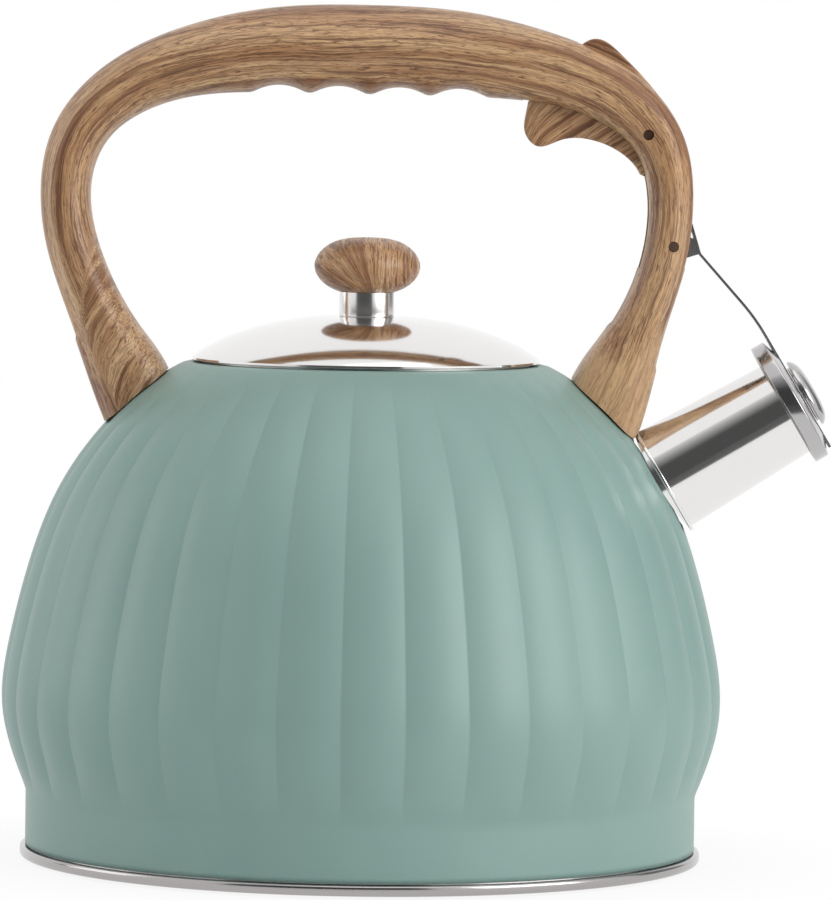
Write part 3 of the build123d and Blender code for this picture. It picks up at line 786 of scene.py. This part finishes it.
tubeProfile = [(spoutRadius(along), along) for along in spout["outerRows"]]
tubeProfile += [(spout["mouth"] - inset, spout["length"] - drop) for inset, drop in spout["lipRows"]]
tubeProfile += [(spoutRadius(along) - spout["wall"], along) for along in spout["innerRows"]]
tubeRows = (0, len(tubeProfile) - 1)
tube = turned(
    "spout_tube", tubeProfile, finishes["polished"], spoutPlace, segments=160, shift=seatShift(tubeRows)
)
place(tube, "kettle", "polished_steel", "spout")

front, back = spout["flangeFront"], spout["flangeFront"] - spout["flangeThickness"]
edge = spout["flangeEdge"]
inner = spout["root"] + edge
lip = inner + spout["flangeLip"]
flangeProfile = [(inner, front - edge), (lip, front)]
flangeProfile += softCorners(
    [(lip + edge, front), (spout["flange"], front), (spout["flange"], back), (lip, back)],
    spout["flangeRound"], closed=False,
)
flangeProfile += [(lip, -edge), (inner, -edge)]
flangeRows = (len(flangeProfile) - 2, len(flangeProfile) - 1)
flange = turned(
    "spout_ring", flangeProfile, finishes["polished"], spoutPlace, shift=seatShift(flangeRows)
)
place(flange, "kettle", "polished_steel", "spout_flange")

# Whistle cap and its button
cap = {
    "radius": 18.1, "skirt": 3.9, "front": 5.3, "frontRadius": 13.8, "sheet": 0.8, "hole": 1.6,
    "button": 9.9, "neck": 8.4, "strap": 0.7, "lift": 0.7, "edge": 0.5, "rise": 2.4,
    "round": 0.35, "buttonRound": 0.2,
}
capProfile = softCorners(
    [
        (cap["hole"], cap["front"]),
        (cap["frontRadius"], cap["front"]),
        (cap["radius"], cap["skirt"]),
        (cap["radius"], 0),
        (cap["radius"] - cap["sheet"], 0),
        (cap["radius"] - cap["sheet"], cap["skirt"] - cap["sheet"] / 2),
        (cap["frontRadius"] - cap["sheet"] / 2, cap["front"] - cap["sheet"]),
        (cap["hole"], cap["front"] - cap["sheet"]),
    ],
    cap["round"],
)
cup = turned("whistle_cup", capProfile, finishes["cap"], capPlace, segments=160, sharp=40.0)
place(cup, "cap", "polished_steel", "whistle_cap")

base = cap["front"] + cap["strap"]
rim = base + cap["lift"]
crown = rim + cap["edge"] + cap["rise"]
buttonProfile = softCorners(
    [
        (cap["hole"], crown),
        (cap["hole"], base),
        (cap["neck"], base),
        (cap["neck"], rim),
        (cap["button"], rim),
    ],
    cap["buttonRound"], closed=False,
)
buttonProfile += splineThrough(
    [(cap["button"], rim + cap["edge"]), (cap["hole"], crown)], (-0.6, 1.0), (-1.0, 0.0), count=24
)[:-1]
button = turned("cap_dome", buttonProfile, finishes["cap"], capPlace)
place(button, "cap", "polished_steel", "cap_button")
print("spout and cap made")

# Handle: ribs from the foot of the plain leg over the grip to the foot of the slotted leg
handle = {
    "reach": 90.9, "top": 237.8, "gripThickness": 24.8, "gripDepth": 26.0, "gripSquare": 2.0,
    "footDepth": 28.0, "footSink": 6.0, "footSquare": 3.2, "legRun": (-0.42, -0.91),
    "around": 120, "along": 320,
    "facet": 0.45, "facetAngle": 30.0, "facetTop": 226.0, "facetEase": 25.0,
    "boot": 0.5, "bootEase": 0.5, "bootOuter": (144.5, 139.0), "bootInner": (0.0, 150.5),
    "scallopPitch": 16.7, "scallops": 4, "scallopDepth": 2.1, "scallopRadius": 13.0, "blunt": 0.35,
    "seatGap": 0.25, "formFrom": 60.0, "pinHole": 1.5, "pinSides": 40, "pinReach": 30.0,
}
archHeight = handle["top"] - body["mouthHeight"]
plainFoot, slottedFoot = (121.6, 136.0), (118.3, 134.4)
# Rows: inset and drop as shares of reach and height, thickness, lean in degrees, depth, squareness
plainLeg = [
    (0.114, 0.936, 17.5, 13.2, 25.0, 2.6),
    (0.043, 0.758, 15.4, 1.9, 24.0, 2.4),
    (0.0, 0.534, 13.9, 0.8, 24.0, 2.3),
    (0.035, 0.355, 15.1, -16.2, 24.0, 2.2),
    (0.167, 0.197, 16.7, -43.1, 24.0, 2.1),
    (0.455, 0.06, 20.0, -75.5, 25.0, 2.0),
    (0.69, 0.012, 23.4, -87.1, 26.0, 2.0),
]
slottedLeg = [
    (0.098, 0.935, 15.9, 12.7, 25.0, 2.6),
    (0.039, 0.755, 13.5, -0.8, 24.0, 2.4),
    (0.005, 0.534, 13.2, 0.9, 24.0, 2.3),
    (0.04, 0.353, 14.4, -17.8, 24.0, 3.0),
    (0.167, 0.197, 17.0, -44.0, 24.0, 3.2),
    (0.46, 0.067, 20.0, -76.1, 25.0, 3.0),
    (0.69, 0.018, 23.3, -87.1, 26.0, 2.2),
]
triggerPivot, armPivot = (77.2, 203.0), (84.6, 172.2)


def legRibs(side, foot, rows):
    corners = [Vector((crestRadius(height), height)) for height in foot]
    sunk = [corner + Vector(handle["legRun"]) * handle["footSink"] for corner in corners]
    ends = (handle["footDepth"], handle["footSquare"])
    ribs = [(*sunk[0], *sunk[1], *ends), (*corners[0], *corners[1], *ends)]
    for inset, drop, thickness, lean, depth, square in rows:
        outerX, outerZ = handle["reach"] * (1 - inset), handle["top"] - archHeight * drop
        turn = radians(lean)
        innerX, innerZ = outerX - thickness * cos(turn), outerZ + thickness * sin(turn)
        ribs.append((outerX, outerZ, innerX, innerZ, depth, square))
    return [(side * a, b, side * c, d, depth, square) for a, b, c, d, depth, square in ribs]


def archRibs():
    top = handle["top"]
    crownRib = (0, top, 0, top - handle["gripThickness"], handle["gripDepth"], handle["gripSquare"])
    return legRibs(-1, plainFoot, plainLeg) + [crownRib] + legRibs(1, slottedFoot, slottedLeg)[::-1]


def archSections():
    ribs = archRibs()
    first = np.array(ribs[1]) - np.array(ribs[0])
    last = np.array(ribs[-1]) - np.array(ribs[-2])
    return splineThrough(ribs, first, last, handle["along"])


def scallop(x):
    half = handle["scallopPitch"] * handle["scallops"] / 2
    if abs(x) > half:
        return 0.0
    offset = (x + half) % handle["scallopPitch"] - handle["scallopPitch"] / 2
    dip = handle["scallopDepth"] - offset**2 / (2 * handle["scallopRadius"])
    return (dip + hypot(dip, handle["blunt"])) / 2


def eased(share):
    share = min(1.0, max(0.0, share))
    return share * share * (3 - 2 * share)


# The legs carry a narrow facet along their outer corners and a slightly wider boot over the foot
def facetDepth(outerZ):
    return handle["facet"] * eased((handle["facetTop"] - outerZ) / handle["facetEase"])


def bootStep(side, turn, height):
    top = handle["bootOuter" if cos(turn) > 0 else "bootInner"][side]
    return handle["boot"] * cos(turn) ** 2 * eased((top - height) / handle["bootEase"])


def raised(share, square):
    return abs(share) ** (2 / square) * (1 if share >= 0 else -1)


def archMesh():
    work = bmesh.new()
    rings = []
    for outerX, outerZ, innerX, innerZ, depth, square in archSections():
        width = hypot(outerX - innerX, outerZ - innerZ)
        out = Vector((outerX - innerX, 0, outerZ - innerZ)) / width
        middle = Vector((outerX + innerX, 0, outerZ + innerZ)) / 2
        lean = radians(handle["facetAngle"])
        blunt = square / (square - 1)
        limit = ((width / 2 * cos(lean)) ** blunt + (depth / 2 * sin(lean)) ** blunt) ** (1 / blunt)
        limit -= facetDepth(outerZ)
        ring = []
        for k in range(handle["around"]):
            angle = 2 * pi * k / handle["around"]
            reach = raised(cos(angle), square) * width / 2
            deep = raised(sin(angle), square) * depth / 2
            over = max(0.0, reach * cos(lean) + abs(deep) * sin(lean) - limit)
            reach -= over * cos(lean)
            deep -= over * sin(lean) * (1 if deep > 0 else -1)
            proud = bootStep(0 if outerX < 0 else 1, angle, middle.z + out.z * reach)
            spot = middle + out * (reach + proud * cos(angle)) + Vector((0, deep, 0))
            if cos(angle) < 0:
                spot.z += scallop(spot.x) * cos(angle) ** 2
            ring.append(work.verts.new(spot * mm))
        rings.append(ring)
    for low, high in zip(rings, rings[1:]):
        for k in range(len(low)):
            n = (k + 1) % len(low)
            work.faces.new([low[k], low[n], high[n], high[k]])
    for end in (rings[0], rings[-1]):
        work.faces.new(end)
    return toMesh("arched_handle", work)


def prism(name, outline, half):
    work = bmesh.new()
    sides = [[work.verts.new((x * mm, y * mm, z * mm)) for x, z in outline] for y in (-half, half)]
    for k in range(len(outline)):
        n = (k + 1) % len(outline)
        work.faces.new([sides[0][k], sides[0][n], sides[1][n], sides[1][k]])
    work.faces.new(sides[0])
    work.faces.new(sides[1])
    return meshPiece(name, toMesh(name, work), finishes["satin"])


def fromTrigger(across, up):
    return triggerPivot[0] + across, triggerPivot[1] + up


def pinCutter(centre, radius):
    turns = [2 * pi * k / handle["pinSides"] for k in range(handle["pinSides"])]
    ring = [(centre[0] + radius * cos(turn), centre[1] + radius * sin(turn)) for turn in turns]
    return prism("pin_cutter", ring, handle["pinReach"])


arch = meshPiece("arched_handle", archMesh(), finishes["wood"], sharp=40.0)
gap = handle["seatGap"]
formSide = [(radius + gap, height + gap) for radius, height in crestLine if height > handle["formFrom"]]
formProfile = [(0, handle["formFrom"])] + formSide + [(0, body["mouthHeight"] + gap)]
bodyForm = turned("body_form", formProfile, finishes["satin"], segments=180, closed=False)
reliefRadius = spout["flange"] + spout["reliefGap"]
start, end = spout["reliefEnds"]
reliefProfile = [(0, start), (reliefRadius, start), (reliefRadius, end), (0, end)]
relief = turned("spout_relief", reliefProfile, finishes["satin"], spoutPlace, segments=96, closed=False)

# Slot for the trigger and the cap arm: its roof follows the trigger, and it is open at the leg's outside
slot = {
    "half": 5.0, "far": 117.0, "near": 58.6, "high": 235.2, "low": 166.0,
    "roof": ((-36.5, -4.0), (-35.0, 8.5), (-31.0, 17.6), (-19.9, 25.1), (-16.0, 32.2)),
}
slotOutline = [fromTrigger(*spot) for spot in slot["roof"]]
slotOutline += [(slot["far"], slot["high"]), (slot["far"], slot["low"]), (slot["near"], slot["low"])]
cutBy(
    arch, bodyForm, relief, prism("slot_cutter", slotOutline, slot["half"]),
    pinCutter(triggerPivot, handle["pinHole"]), pinCutter(armPivot, handle["pinHole"]),
)
dress(arch.data, finishes["wood"], sharp=40.0)

archLine = np.array([((a + c) / 2, (b + d) / 2) for a, b, c, d, _, _ in archSections()])
archLength = np.concatenate(([0.0], np.cumsum(np.linalg.norm(np.diff(archLine, axis=0), axis=1))))
archRun = np.gradient(archLine, axis=0)
archRun /= np.linalg.norm(archRun, axis=1)[:, None]


# On the plain leg's foot the grain fans out like a feather from a spine that rises from the foot's tip
feather = {
    "tip": 1.0, "spine": 6.0, "turn": 28.0, "drift": 0.54, "curve": 7.0, "spread": 0.8, "height": 60.0,
    "across": 80.0,
}


def archGrain(spot):
    near = int(np.argmin((archLine[:, 0] - spot.x) ** 2 + (archLine[:, 1] - spot.z) ** 2))
    away = np.array((spot.x, spot.z)) - archLine[near]
    along = archLength[near] + float(away @ archRun[near])
    across = float(away @ np.array((-archRun[near][1], archRun[near][0])))
    rise = along - feather["tip"]
    inward = feather["spine"] - feather["drift"] * max(0.0, rise - feather["turn"]) - across
    if spot.x > 0 or inward < 0 or rise > feather["height"]:
        return along, across, spot.y
    line = (rise - sqrt(2 * feather["curve"] * inward)) * feather["spread"]
    return rise + inward, line + feather["across"], spot.y


grainOf(arch, archGrain)
place(arch, "kettle", "wood_print", "handle")
print("handle:", len(arch.data.polygons), "faces")


# Closer points on flat sides, so that they can carry a curved grain
def sliced(piece, spacing):
    work = bmesh.new()
    work.from_mesh(piece.data)
    bmesh.ops.triangulate(work, faces=[face for face in work.faces if len(face.verts) > 4])
    for normal in (Vector((1, 0, 0)), Vector((0, 0, 1))):
        heights = [vert.co.dot(normal) for vert in work.verts]
        for height in np.arange(min(heights), max(heights), spacing * mm)[1:]:
            whole = work.verts[:] + work.edges[:] + work.faces[:]
            bmesh.ops.bisect_plane(work, geom=whole, plane_co=normal * float(height), plane_no=normal)
    work.to_mesh(piece.data)
    work.free()


# Trigger: finger nose below the grip, thumb tab above it, tail outside the cap arm
trigger = {
    "half": 4.6, "round": 0.9, "roundAngle": 50.0, "pinHole": 1.5, "spacing": 2.0,
    "nose": (
        (-33.2, 8.5), (-34.0, 4.2), (-34.1, 0.5), (-30.7, -3.6),
        (-24.2, -1.9), (-15.6, -1.7), (-7.0, -5.4), (-1.9, -11.1),
    ),
    "tail": ((1.6, -12.6), (9.6, -13.0), (11.6, -18.7)),
    "tab": (
        (12.6, -18.4), (12.5, -12.0), (11.2, -4.5), (7.3, 4.3),
        (0.2, 14.0), (-7.8, 22.2), (-15.2, 26.3), (-18.9, 24.2),
    ),
}
noseSpots, tailSpots, tabSpots = ([fromTrigger(*p) for p in trigger[key]] for key in ("nose", "tail", "tab"))
noseLine = splineThrough(noseSpots, (-0.2, -1.0), (0.45, -1.0), count=60)
tabLine = splineThrough(tabSpots, (0.05, 1.0), (-1.0, -1.2), count=60)
lever = prism("squeeze_trigger", noseLine + tailSpots + tabLine, trigger["half"])
cutBy(lever, pinCutter(triggerPivot, trigger["pinHole"]))
softEdge = lever.modifiers.new("round", "BEVEL")
softEdge.width = trigger["round"] * mm
softEdge.segments = 3
softEdge.limit_method = "ANGLE"
softEdge.angle_limit = radians(trigger["roundAngle"])
lever.data = shapedMesh(lever)
lever.modifiers.clear()
sliced(lever, trigger["spacing"])
dress(lever.data, finishes["triggerWood"], sharp=40.0)


# Grain lines fan out from the nose's tip, and follow the arch on the tab and tail
noseFan = {
    "tip": 34.2, "slope": 0.6, "bend": 8.0, "fade": 2.8, "spread": 0.6, "along": 500.0, "across": 40.0,
}


def triggerGrain(spot):
    along, across, deep = archGrain(spot)
    if across > 0:
        return along + noseFan["along"], across + trigger["half"] - abs(spot.y) + noseFan["across"], deep
    run = max(spot.x - (triggerPivot[0] - noseFan["tip"]), 0.0)
    line = noseFan["slope"] * run + noseFan["bend"] * (1 - exp(-run / noseFan["fade"]))
    return spot.z + noseFan["along"], (spot.z - line) * noseFan["spread"], spot.y


grainOf(lever, triggerGrain)
place(lever, "trigger", "wood_print", "trigger")
print("trigger made")

# Return spring: on the kettle one leg stays in the slot and the other goes with the arm; here the CAD coil is
# copied as it stands
coilWork = bmesh.new()
coilWork.from_mesh(frame["nodes"]["return_spring"].data)
coil = meshPiece("spring_coil", toMesh("spring_coil", coilWork), finishes["satin"])
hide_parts("return_spring")
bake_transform(coil)
print("spring made")

# The other solids stay and get their finishes
carried = {
    "strap": ["cap_arm"],
    "satin": [
        "base_cap", "neck_ring", "lid_skirt", "whistle_plate", "handle_screws", "screw_washers", "lid_screw",
        "lid_washer",
    ],
    # The pins get the dark brown of painted hole shade
    "pin": ["trigger_pin", "arm_pin"],
    "aluminium": ["heat_spreader"],
    "silicone": ["seal_washers"],
}
for finish, nodes in carried.items():
    for node in nodes:
        mesh = frame["nodes"][node].data
        mesh.materials.clear()
        mesh.materials.append(finishes[finish])

# Studio: white surroundings, soft lamps, a pale floor that is pure white away from the shadow
studio = {
    "ambient": 0.56, "floor": 0.9, "floorSize": 6.0, "cardLift": 0.0005,
    "shadowKept": 0.12, "shadowNear": 0.09, "shadowFar": 0.15,
}


def seenDirectly(bench):
    path = bench.make("ShaderNodeLightPath", out="Is Camera Ray")
    return (path + path.sibling("Is Glossy Ray") + path.sibling("Is Transmission Ray")).clip()


def makeWorld():
    world = bpy.data.worlds.new("studio")
    world.use_nodes = True
    scene.world = world
    bench = NodeBench(world.node_tree)
    world.node_tree.nodes.clear()
    lighting = bench.make("ShaderNodeBackground", {}, {"Color": (1, 1, 1, 1), "Strength": studio["ambient"]})
    seen = bench.make("ShaderNodeBackground", {}, {"Color": (1, 1, 1, 1), "Strength": 1.0})
    mixed = bench.make("ShaderNodeMixShader", {}, {0: seenDirectly(bench), 1: lighting, 2: seen})
    bench.make("ShaderNodeOutputWorld", {}, {"Surface": mixed})


def bareFinish(name):
    finish = bpy.data.materials.new(name)
    finish.use_nodes = True
    finish.node_tree.nodes.clear()
    return finish, NodeBench(finish.node_tree)


def panel(name, corners, finish):
    mesh = bpy.data.meshes.new(name)
    mesh.from_pydata(corners, [], [(0, 1, 2, 3)])
    mesh.materials.append(finish)
    piece = bpy.data.objects.new(name, mesh)
    scene.collection.objects.link(piece)
    return piece


def makeFloor():
    finish, bench = bareFinish("pale_floor")
    tone = studio["floor"]
    matt = bench.make("ShaderNodeBsdfDiffuse", {}, {"Color": (tone, tone, tone, 1)})
    glow = bench.make("ShaderNodeEmission", {}, {"Color": (1, 1, 1, 1), "Strength": 1.0})
    away = bench.make("ShaderNodeVectorMath", {"operation": "LENGTH"}, {0: objectCoords(bench)}, out="Value")
    near = ((studio["shadowFar"] - away) / (studio["shadowFar"] - studio["shadowNear"])).clip()
    share = seenDirectly(bench) * (1.0 - near * studio["shadowKept"])
    mixed = bench.make("ShaderNodeMixShader", {}, {0: share, 1: matt, 2: glow})
    bench.make("ShaderNodeOutputMaterial", {}, {"Surface": mixed})
    size = studio["floorSize"]
    panel("floor", [(-size, -size, 0), (size, -size, 0), (size, size, 0), (-size, size, 0)], finish)


# Grey cards that only reflections show: the first tone up to the first height, the second from the second
def greyCard(name, corners, tones, heights):
    finish, bench = bareFinish(name)
    where = bench.make("ShaderNodeSeparateXYZ", {}, {0: objectCoords(bench)}, out="Z")
    share = ((where - heights[0]) / (heights[1] - heights[0])).clip()
    tone = mixColour(bench, share, (tones[0],) * 3, (tones[1],) * 3)
    glow = bench.make("ShaderNodeEmission", {}, {"Color": tone, "Strength": 1.0})
    bench.make("ShaderNodeOutputMaterial", {}, {"Surface": glow})
    card = panel(name, corners, finish)
    card.visible_camera = card.visible_diffuse = card.visible_transmission = card.visible_shadow = False


def upright(left, right, top):
    return [(*left, 0.0), (*right, 0.0), (*right, top), (*left, top)]


def softLamp(name, spot, aim, size, power):
    lamp = bpy.data.lights.new(name, "AREA")
    lamp.shape = "RECTANGLE"
    lamp.size, lamp.size_y = size
    lamp.energy = power
    light = bpy.data.objects.new(name, lamp)
    light.location = spot
    light.rotation_euler = (Vector(aim) - Vector(spot)).to_track_quat("-Z", "Y").to_euler()
    scene.collection.objects.link(light)


makeWorld()
makeFloor()
floorCard = [(x, y, studio["cardLift"]) for x, y in ((-1.8, -2.4), (1.2, -2.4), (1.2, -0.42), (-1.8, -0.42))]
for name, corners, tones, heights in (
    ("card_behind_camera", upright((-2.4, -2.4), (1.07, -2.4), 3.2), (0.08, 0.75), (1.3, 3.2)),
    ("card_right_behind", upright((1.4, 1.7), (2.3, 0.7), 2.4), (0.3, 0.7), (0.6, 2.4)),
    ("card_left", upright((-2.0, 0.85), (-1.9, 1.05), 2.0), (0.15, 0.3), (1.0, 2.0)),
    ("card_right", upright((1.9, 1.05), (2.0, 0.85), 2.0), (0.15, 0.3), (1.0, 2.0)),
    ("card_on_floor", floorCard, (0.12, 0.12), (0.0, 1.0)),
):
    greyCard(name, corners, tones, heights)
softLamp("left_softbox", spot=(-1.9, 0.3, 0.7), aim=(0, 0, 0.1), size=(1.2, 1.2), power=5.5)
softLamp("right_softbox", spot=(1.7, -1.0, 0.75), aim=(0, 0, 0.1), size=(1.4, 1.3), power=19)
softLamp("top_softbox", spot=(0.2, -0.4, 1.9), aim=(0, 0, 0.1), size=(1.6, 1.6), power=6)

# Camera as solved from the photo: spot and aim in millimetres, roll in radians
camera = {
    "spot": (14.09, -1893.0, 222.0), "aim": (14.09, 0.0, 114.44), "roll": 0.0140,
    "lens": 272.66, "sensor": 36.0, "farthest": 20.0,
}
view = bpy.data.cameras.new("camera")
view.lens = camera["lens"]
view.sensor_width = camera["sensor"]
view.sensor_fit = "AUTO"
view.clip_end = camera["farthest"]
eye = bpy.data.objects.new("camera", view)
eye.location = Vector(camera["spot"]) * mm
gaze = (Vector(camera["aim"]) - Vector(camera["spot"])).to_track_quat("-Z", "Y").to_matrix()
eye.rotation_euler = (gaze @ Matrix.Rotation(camera["roll"], 3, "Z")).to_euler()
scene.collection.objects.link(eye)
scene.camera = eye
scene.view_settings.view_transform = "Standard"
print("studio set")
